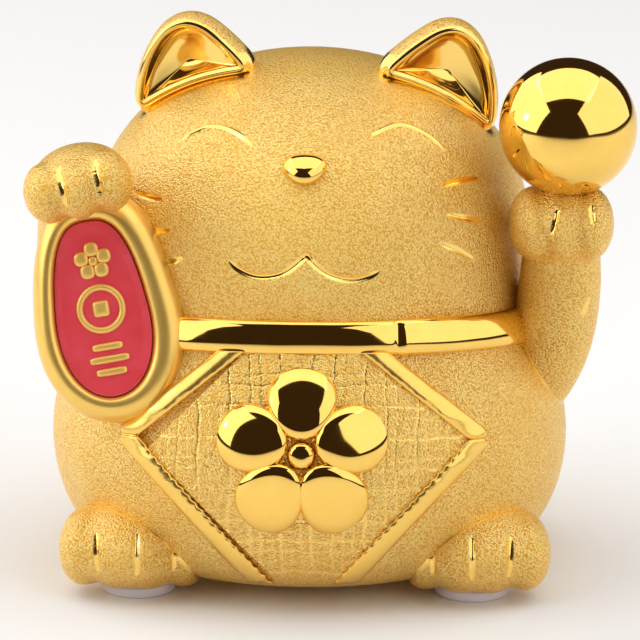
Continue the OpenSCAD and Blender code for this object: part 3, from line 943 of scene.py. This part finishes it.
def oval_point(angle, keep, inset, height):
    """A point of the coin, in its own frame: inset is in mm at the sides, and more at the ends."""
    fullness = np.where(np.sin(angle) < 0, *COIN_FULLNESS)
    across, along = [np.sign(k) * np.abs(k) ** (2 / fullness) for k in (np.cos(angle), np.sin(angle))]
    part = np.clip(inset / RIM_W, 0, 1)
    deep = inset * (1 + (RIM_END / RIM_W - 1) * np.sin(angle) ** 2 * part)
    x = (COIN_HALF_W * keep - deep) * across * (1 - COIN_TAPER * along) - RECESS_SHIFT * part
    return np.stack([x, (COIN_HALF_L * keep - deep) * along, height + 0 * angle], -1) * MM


def in_coin_frame(co):
    place = np.array(COIN_PLACE)
    return co @ place[:3, :3].T + place[:3, 3]


class CAT_OT_coin(Operator):
    """Forms the oval coin: its rim, the red enamel and the raised marks"""
    bl_idname = "cat.coin"
    bl_label = "Coin"

    def execute(self, context):
        section = curve_through(COIN_SECTION, COIN_ROWS + 1)

        def rim(u, v):
            keep, inset, height = section[np.round(v * COIN_ROWS).astype(int)].T
            return in_coin_frame(oval_point(2 * math.pi * u, np.clip(keep, 0, 1), inset, height))

        obj = wrapped("coin_body", 160, COIN_ROWS, rim)
        polish(obj, 0.75, "satin")
        finish_piece(obj, "polished_gold", "coin_rim")

        def enamel(u, v):
            k = np.clip(v * 1.25, 0, 1)
            under = np.clip(v * 5 - 4, 0, 1)
            top = ENAMEL_TOP + ENAMEL_CREEP * smooth_step(k, 0.8, 1) - under * 1.5
            point = oval_point(2 * math.pi * u, k, RIM_W * k, top)
            return in_coin_frame(point - (RECESS_SHIFT * MM * (1 - k))[:, None] * (1, 0, 0))

        obj = wrapped("coin_enamel_glaze", 128, 60, enamel)
        finish_piece(obj, "red_enamel", "coin_enamel")
        self.marks()
        return {"FINISHED"}

    def marks(self):
        """A small blossom, a ring with a square in it, and three bars."""
        parts = []
        for k in range(PETALS):
            a = math.radians(90 + 360 / PETALS * k)
            parts.append(dome(3.1 * math.cos(a), MARK_BLOSSOM + 3.1 * math.sin(a), 1.9, 1.9))
        parts.append(dome(0, MARK_BLOSSOM, 1.2, 1.2))
        deselect()
        bpy.ops.mesh.primitive_torus_add(major_radius=5.6 * MM, minor_radius=0.85 * MM,
                                         major_segments=72, minor_segments=16)
        ring = bpy.context.object
        write(ring, in_coin_frame(read(ring) + np.array((-RECESS_SHIFT, 0, ENAMEL_TOP)) * MM))
        parts += [ring, dome(0, 0, 2.1, 2.1, 6)]
        for k, wide in ((-1, 4.0), (0, 5.2), (1, 4.0)):
            parts.append(dome(0, MARK_BARS + BAR_PITCH * k, wide, 0.95, 5))
        obj = joined("coin_marks", parts)
        close_up(obj)
        polish(obj, 1, "satin")
        finish_piece(obj, "polished_gold", "coin_relief")


def dome(x, y, half_w, half_h, power=2.5):
    """A raised, round-topped mark on the enamel. A higher power makes its outline boxier."""
    def surface(u, v):
        a = 2 * math.pi * u
        c, s = np.cos(a), np.sin(a)
        reach = (np.abs(c) ** power + np.abs(s) ** power) ** (-1 / power)
        r = np.sin(math.pi * v)
        h = np.where(v < 0.5, 0.85 * np.sqrt(np.clip(1 - r ** 3, 0, 1)), -0.3)
        across, along = x - RECESS_SHIFT + half_w * r * reach * c, y + half_h * r * reach * s
        return in_coin_frame(np.stack([across, along, ENAMEL_TOP + h], -1) * MM)

    return wrapped("mark", 48, 24, surface)


# ---- Ball, nose, collar ----

class CAT_OT_ball(Operator):
    """Forms the mirror-bright ball"""
    bl_idname = "cat.ball"
    bl_label = "Ball"

    def execute(self, context):
        deselect()
        bpy.ops.mesh.primitive_ico_sphere_add(subdivisions=6, radius=BALL_R, location=BALL_AT)
        obj = named("mirror_ball")
        bpy.ops.object.transform_apply(location=True)
        finish_piece(obj, "polished_gold", "ball")
        return {"FINISHED"}


# The nose's height on the leaning plane, its half width and height, and how far it stands out, in mm
NOSE_V, NOSE_HALF_W, NOSE_HALF_H, NOSE_OUT = 98.8, 5.7, 4.2, 3.5


def cap_radius(v):
    """The share of a cap's width reached at v: out over the top until 0.5, then back in under it."""
    return np.sin(math.pi * np.minimum(v, 0.5)) * np.where(v > 0.5, 2 - 2 * v, 1)


class CAT_OT_nose(Operator):
    """Forms the nose, a rounded triangle with its point down"""
    bl_idname = "cat.nose"
    bl_label = "Nose"

    def execute(self, context):
        def surface(u, v):
            a = 2 * math.pi * u
            r = cap_radius(v)
            wide = (1 + 0.05 * np.sin(3 * a)) * r
            under = -0.3 - 2 * np.clip(v * 6 - 3, 0, 1)
            h = np.where(v <= 0.5, NOSE_OUT * np.sqrt(np.clip(1 - r ** 2, 0, 1)) - 0.3, under)
            x, y = NOSE_HALF_W * wide * np.cos(a), NOSE_HALF_H * wide * np.sin(a)
            return on_lean(x * MM, (NOSE_V + y) * MM, h * MM)

        obj = wrapped("cat_nose", 72, 48, surface)
        finish_piece(obj, "polished_gold", "nose")
        return {"FINISHED"}


# The collar slopes down to the front
COLLAR_PITCH = math.radians(10.5)
COLLAR_UP = np.array((0, math.sin(COLLAR_PITCH), math.cos(COLLAR_PITCH)))
# Its height over the body's middle, half its width, how far it stands out, and how much more where folded
COLLAR_Z, COLLAR_HALF, COLLAR_OUT, FOLD_OUT = 64.8 * MM, 4.5 * MM, 2.6 * MM, 0.55 * MM
# How deep the band is sunk into the skin
COLLAR_SUNK = 1.5 * MM
# The band's loose end lies over the rest from here to the raised arm, in degrees from the front
FOLD_AT, BAND_END = 28.9, 83
# The groove beside the fold: its depth, and its half width in degrees
FOLD_GROOVE, FOLD_GROOVE_W = 0.45 * MM, 0.8


def collar_middle(azimuth):
    """The elevation at which the collar's sloping middle plane meets the skin, for each azimuth."""
    low, high = np.full(azimuth.shape, -30.0), np.full(azimuth.shape, 45.0)
    for _ in range(30):
        mid = (low + high) / 2
        p = on_skin(towards(azimuth, mid))
        above = p[..., 2] - COLLAR_Z + np.tan(COLLAR_PITCH) * p[..., 1] > 0
        low, high = np.where(above, low, mid), np.where(above, mid, high)
    return (low + high) / 2


class CAT_OT_collar(Operator):
    """Forms the polished collar band, folded over at the front, and the bow at the back"""
    bl_idname = "cat.collar"
    bl_label = "Collar"

    def execute(self, context):
        def surface(u, v):
            azimuth = 360 * u - 180
            middle = collar_middle(azimuth)
            a = 2 * math.pi * v
            over = FOLD_OUT * smooth_step(azimuth, FOLD_AT - 0.7, FOLD_AT + 0.3)
            over *= smooth_step(azimuth, BAND_END + 1.5, BAND_END)
            groove = FOLD_GROOVE * np.exp(-((azimuth - FOLD_AT + 1.2) / FOLD_GROOVE_W) ** 2)
            out = np.sign(np.cos(a)) * np.abs(np.cos(a)) ** 0.8
            up = np.sign(np.sin(a)) * np.abs(np.sin(a)) ** 0.85
            rise = (COLLAR_HALF + over * 0.4) * up
            level = to_skin(on_skin(towards(azimuth, middle)) + COLLAR_UP * rise[:, None])
            lift = np.where(out > 0, (COLLAR_OUT + over - groove) * out, COLLAR_SUNK * out)
            return to_skin(level, lift)

        obj = wrapped("collar_band_polished", 540, 28, surface)
        finish_piece(obj, "polished_gold", "collar_band")

        at = on_skin(towards(180, 2), COLLAR_OUT) / MM
        parts = [egg(at + (0, 1, 0), (4, 4.4, 4.4))]
        for side in (-1, 1):
            parts.append(egg(at + (side * 9, 0.5, 0), (9, 3.6, 6.5), (0, side * 12, side * 8)))
        obj = clay("collar_bow_knot", parts, 0.6 * MM, 5)
        for side in (-1, 1):
            path = snapped(obj, [(at + (side * x, 4, 0.12 * x)) * MM for x in np.linspace(4, 13, 40)])
            carve(obj, path, 1.3 * MM, 0.9 * MM, 0.5)
        finish_piece(obj, "polished_gold", "collar_bow")
        return {"FINISHED"}


# ---- Bib ----

# In mm: half the bib's width, the heights of its side corners and its top, and its point's drop as a share
BIB_HALF, BIB_CORNER_V, BIB_TOP_V, BIB_DROP = 50, 30, 60, 1.087
# How much narrower each side is for each mm of height
BIB_SLOPE = 1.27
# Width and height of the trim, height of the field, and how far the trim's corners are rounded
BIB_TRIM_W, BIB_TRIM_T, BIB_T, CORNER_ROUND = 5, 3, 1.6, 4
# The square that the field is cut from: its cells to a side, its size, and how far up its middle lies
QUILT_CELLS, QUILT_SQUARE, QUILT_UP = 290, 96, 14
# How far the field runs in under the trim, and how thick it is with what is sunk into the belly
QUILT_UNDER, QUILT_THICK = 1, 1.9
# The trim's scallops: the share by which they narrow it on its lower sides and elsewhere, and their pitch
SCALLOP_LOW, SCALLOP_HIGH, SCALLOP_PITCH = 0.09, 0.02, 3
# Depth and half width of the line where two lengths of trim meet
MITRE_DEPTH, MITRE_W = 0.7, 0.4
# The height of the blossom's middle on the leaning plane
BLOSSOM_V = 25


def bib_corners(inset):
    """The bib's corners on the leaning plane, in mm, drawn in by inset all round."""
    top = BIB_HALF - (BIB_TOP_V - BIB_CORNER_V) * BIB_SLOPE
    pts = np.array(((BIB_HALF, BIB_CORNER_V), (top, BIB_TOP_V), (-top, BIB_TOP_V),
                    (-BIB_HALF, BIB_CORNER_V), (0, BIB_CORNER_V - BIB_HALF * BIB_DROP)), float)
    edges = np.roll(pts, -1, 0) - pts
    ways = edges / np.linalg.norm(edges, axis=1, keepdims=True)
    ins = np.stack([-ways[:, 1], ways[:, 0]], -1)
    before = np.roll(ins, 1, 0)
    return pts + inset * (ins + before) / (1 + (ins * before).sum(1, keepdims=True))


class CAT_OT_bib(Operator):
    """Forms the quilted bib, its mitred border and the blossom on it"""
    bl_idname = "cat.bib"
    bl_label = "Bib"

    def execute(self, context):
        self.field(context.scene.cat_sizes)
        self.border()
        self.blossom()
        return {"FINISHED"}

    def field(self, sizes):
        deselect()
        bpy.ops.mesh.primitive_grid_add(x_subdivisions=QUILT_CELLS, y_subdivisions=QUILT_CELLS,
                                        size=QUILT_SQUARE)
        obj = named("bib_quilt")
        write(obj, read(obj) + (0, QUILT_UP, 0))
        corners = bib_corners(BIB_TRIM_W - QUILT_UNDER)
        for a, b in zip(corners, np.roll(corners, -1, 0)):
            way = b - a
            edit(obj)
            bpy.ops.mesh.bisect(plane_co=(*a, 0), plane_no=(way[1], -way[0], 0), clear_outer=True,
                                threshold=1e-5)
            leave()
        x, v, _ = read(obj).T
        pitch, depth = sizes.quilt_pitch / MM, sizes.quilt_depth / MM
        press = np.maximum(quilting(x, v, pitch), quilting(v, x, pitch))
        write(obj, on_lean(x * MM, v * MM, (BIB_T - depth * press) * MM))
        polish(obj, 0.55 * press)
        apply(obj, "SOLIDIFY", thickness=QUILT_THICK * MM, offset=-1)
        close_up(obj)
        trim_bib(obj)
        finish_piece(obj, "pebbled_gold", "bib_cloth")

    def border(self):
        outer, inner = bib_corners(0), bib_corners(BIB_TRIM_W)

        def surface(u, v):
            t = u * 5
            i = np.minimum(t.astype(int), 4)
            f = (t - i)[:, None]
            a = 2 * math.pi * v
            across = (1 - np.cos(a)) / 2
            lift = np.where(v < 0.5, np.abs(np.sin(a)) ** 0.4, -np.abs(np.sin(a)) * 0.5)
            edge_out = outer[i] * (1 - f) + outer[(i + 1) % 5] * f
            edge_in = inner[i] * (1 - f) + inner[(i + 1) % 5] * f
            whole = np.linalg.norm(outer[(i + 1) % 5] - outer[i], axis=1)
            run = whole * f[:, 0]
            near = np.minimum(run, whole - run)
            scallop = np.where((i == 3) | (i == 4), SCALLOP_LOW, SCALLOP_HIGH) * smooth_step(near, 2, 8)
            across = across * (1 - scallop * np.abs(np.sin(run * math.pi / SCALLOP_PITCH)))
            corner = np.clip(1 - near / CORNER_ROUND, 0, 1) ** 2 * np.where(i == 1, 0, 0.4)
            across = corner + across * (1 - corner)
            flat = edge_out + (edge_in - edge_out) * across[:, None]
            mitre = MITRE_DEPTH * np.exp(-(near / MITRE_W) ** 2)
            height = (BIB_TRIM_T - mitre + 0.1 * np.sin(run * 0.7 + 1)) * lift
            return on_lean(flat[:, 0] * MM, flat[:, 1] * MM, height * MM)

        obj = wrapped("bib_border", 700, 32, surface)
        trim_bib(obj)
        polish(obj, 0.5, "satin")
        finish_piece(obj, "polished_gold", "bib_trim")

    def blossom(self):
        parts = []
        for k in range(PETALS):
            petal = 90 + 360 / PETALS * k
            between = petal - 180 / PETALS
            parts.append(boss(13.6, 9.6, 8.9, 2.6, petal, broad=0.12, rise=1.6, slope=0.14))
            parts.append(boss(6.6, 2.6, 0.7, 1.6, between))
            parts.append(boss(9.8, 1.4, 1.4, 2.2, between))
        parts.append(boss(0, 3.9, 3.9, 3.4, 0))
        obj = joined("bib_blossom_raised", parts)
        close_up(obj)
        finish_piece(obj, "polished_gold", "bib_blossom")


def boss(out, half_long, half_wide, height, turn, broad=0.0, rise=1.0, slope=0.0):
    """A raised form on the bib, in mm: set out from the blossom's middle and turned round it in degrees.

    Broad widens its far end, rise lifts it, and slope lowers its far end.
    """
    turn = math.radians(turn)

    def surface(u, v):
        a = 2 * math.pi * u
        r = cap_radius(v)
        along = half_long * r * np.cos(a)
        across = half_wide * r * np.sin(a) * (1 + broad * np.cos(a))
        h = np.where(v <= 0.5, height * np.sqrt(np.clip(1 - r ** 4, 0, 1)) + rise - slope * along, 0.2)
        along = out + along
        x = along * math.cos(turn) - across * math.sin(turn)
        y = along * math.sin(turn) + across * math.cos(turn)
        return on_lean(x * MM, (BLOSSOM_V + y) * MM, h * MM)

    return wrapped("boss", 80, 48, surface)


def quilting(x, v, pitch):
    """1 on the quilting lines across x, falling to 0 beside them. They wander, as if pressed by hand."""
    place = x + 0.3 * np.sin(v * 0.31 + 1.7 * np.sin(x * 0.13)) + 0.15 * np.sin(v * 0.9 + x)
    step = np.round(place / pitch)
    strength = 0.6 + 0.4 * np.sin(step * 2.4)
    return strength * np.exp(-((place - step * pitch) / 0.4) ** 2)


def trim_bib(obj):
    """Cuts a bib layer off at the collar's lower edge and at the body's underside."""
    collar = np.array((0, 0, COLLAR_Z)) - COLLAR_UP * COLLAR_HALF * 0.8
    for at, way in ((collar, COLLAR_UP), (np.array((0, 0, BASE_Z)), np.array((0, 0, -1.0)))):
        edit(obj)
        bpy.ops.mesh.bisect(plane_co=at, plane_no=way, clear_outer=True, use_fill=True, threshold=MERGE)
        leave()


# ---- Pads and studio ----

class CAT_OT_pads(Operator):
    """Forms the soft white pads that the cat stands on"""
    bl_idname = "cat.pads"
    bl_label = "Pads"

    def execute(self, context):
        parts = []
        for x, y in PAD_SPOTS:
            deselect()
            bpy.ops.mesh.primitive_cylinder_add(vertices=64, radius=PAD_R, depth=BASE_Z,
                                                location=(x * MM, y * MM, BASE_Z / 2))
            pad = context.object
            bpy.ops.object.transform_apply(location=True)
            apply(pad, "BEVEL", width=0.7 * MM, segments=4, limit_method="ANGLE")
            parts.append(pad)
        obj = joined("stick_on_pads", parts)
        finish_piece(obj, "white_pad", "foot_pads")
        return {"FINISHED"}


# The camera looks from a little to the cat's right, and down, in degrees
CAMERA_YAW, CAMERA_PITCH = math.radians(2), math.radians(18)
# What it looks at, as mm to the right, up and towards the camera; how far off; half the width it sees there
CAMERA_AIM, CAMERA_FAR, CAMERA_HALF = (2.66, 59.85, 22), 1450, 85.12
# Each soft light's name, place and size in metres, and power in watts
LIGHTS = (("key_left", (-1.1, 0.1, 0.7), (2.6, 1.3), 17.5),
          ("top", (0.0, 0.12, 1.35), (1.9, 1.7), 15.5),
          ("spark", (-0.9, -0.2, 0.4), (0.13, 0.13), 0.6),
          ("fill_right", (1.08, -0.2, 0.7), (2.8, 1.3), 15))
CAT_MIDDLE = Vector((0, 0, 0.07))
# The surroundings' faint warm glow: its colour and strength
GLOW, GLOW_STRENGTH = (1.0, 0.62, 0.4, 1), 0.035


class CAT_OT_studio(Operator):
    """Adds the pale floor, the soft lights and the camera"""
    bl_idname = "cat.studio"
    bl_label = "Studio"

    def execute(self, context):
        scene = context.scene
        material, tree, shader = new_material("pale_floor")
        wire(tree, shader, Base_Color=(0.9, 0.9, 0.9, 1), Roughness=0.7)
        deselect()
        bpy.ops.mesh.primitive_plane_add(size=8)
        floor = named("floor")
        floor.data.materials.append(material)
        for light in LIGHTS:
            soft_box(scene, *light)
        scene.world = bpy.data.worlds.new("studio")
        scene.world.use_nodes = True
        tree = scene.world.node_tree
        wire(tree, tree.nodes["Background"], Color=GLOW, Strength=GLOW_STRENGTH)
        right = Vector((math.cos(CAMERA_YAW), math.sin(CAMERA_YAW), 0))
        away = Vector((-math.sin(CAMERA_YAW), math.cos(CAMERA_YAW), 0))
        up = away * math.sin(CAMERA_PITCH) + Vector((0, 0, math.cos(CAMERA_PITCH)))
        toward = -away * math.cos(CAMERA_PITCH) + Vector((0, 0, math.sin(CAMERA_PITCH)))
        turn = Matrix((right, up, toward)).transposed()
        eye = turn @ Vector(CAMERA_AIM) + toward * CAMERA_FAR
        camera = bpy.data.cameras.new("camera")
        camera.angle = 2 * math.atan(CAMERA_HALF / CAMERA_FAR)
        camera.clip_end = 20
        scene.camera = bpy.data.objects.new("camera", camera)
        scene.collection.objects.link(scene.camera)
        scene.camera.matrix_world = Matrix.Translation(eye * MM) @ turn.to_4x4()
        scene.view_settings.view_transform = "Standard"
        return {"FINISHED"}


def soft_box(scene, name, at, size, power):
    """A rectangular area light that looks at the middle of the cat."""
    light = bpy.data.lights.new(name, "AREA")
    light.shape = "RECTANGLE"
    light.size, light.size_y = size
    light.energy = power
    obj = bpy.data.objects.new(name, light)
    obj.location = at
    obj.rotation_euler = (CAT_MIDDLE - Vector(at)).to_track_quat("-Z", "Y").to_euler()
    obj.visible_camera = False
    scene.collection.objects.link(obj)


# ---- Add-on ----

STEPS = (CAT_OT_materials, CAT_OT_body, CAT_OT_ears, CAT_OT_arms, CAT_OT_feet, CAT_OT_tail,
         CAT_OT_coin, CAT_OT_ball, CAT_OT_nose, CAT_OT_collar, CAT_OT_bib, CAT_OT_pads, CAT_OT_studio)


class CAT_PT_panel(Panel):
    """Lists the steps and settings of the cat"""
    bl_idname = "CAT_PT_panel"
    bl_label = "Gilded Beckoning Cat"
    bl_space_type = "VIEW_3D"
    bl_region_type = "UI"
    bl_category = "Cat"

    def draw(self, context):
        for settings in (context.scene.cat_look, context.scene.cat_sizes):
            for name in settings.__annotations__:
                self.layout.prop(settings, name)
        for step in STEPS:
            self.layout.operator(step.bl_idname)


CLASSES = (CatLook, CatSizes, *STEPS, CAT_PT_panel)


def register():
    for cls in CLASSES:
        bpy.utils.register_class(cls)
    bpy.types.Scene.cat_look = PointerProperty(type=CatLook)
    bpy.types.Scene.cat_sizes = PointerProperty(type=CatSizes)


def unregister():
    del bpy.types.Scene.cat_look
    del bpy.types.Scene.cat_sizes
    for cls in reversed(CLASSES):
        bpy.utils.unregister_class(cls)


def main():
    register()
    bpy.ops.cat.materials()
    bpy.ops.cat.body()
    bpy.ops.cat.ears()
    bpy.ops.cat.arms()
    bpy.ops.cat.feet()
    bpy.ops.cat.tail()
    bpy.ops.cat.coin()
    bpy.ops.cat.ball()
    bpy.ops.cat.nose()
    bpy.ops.cat.collar()
    bpy.ops.cat.bib()
    bpy.ops.cat.pads()
    bpy.ops.cat.studio()


if __name__ == "__main__":
    main()
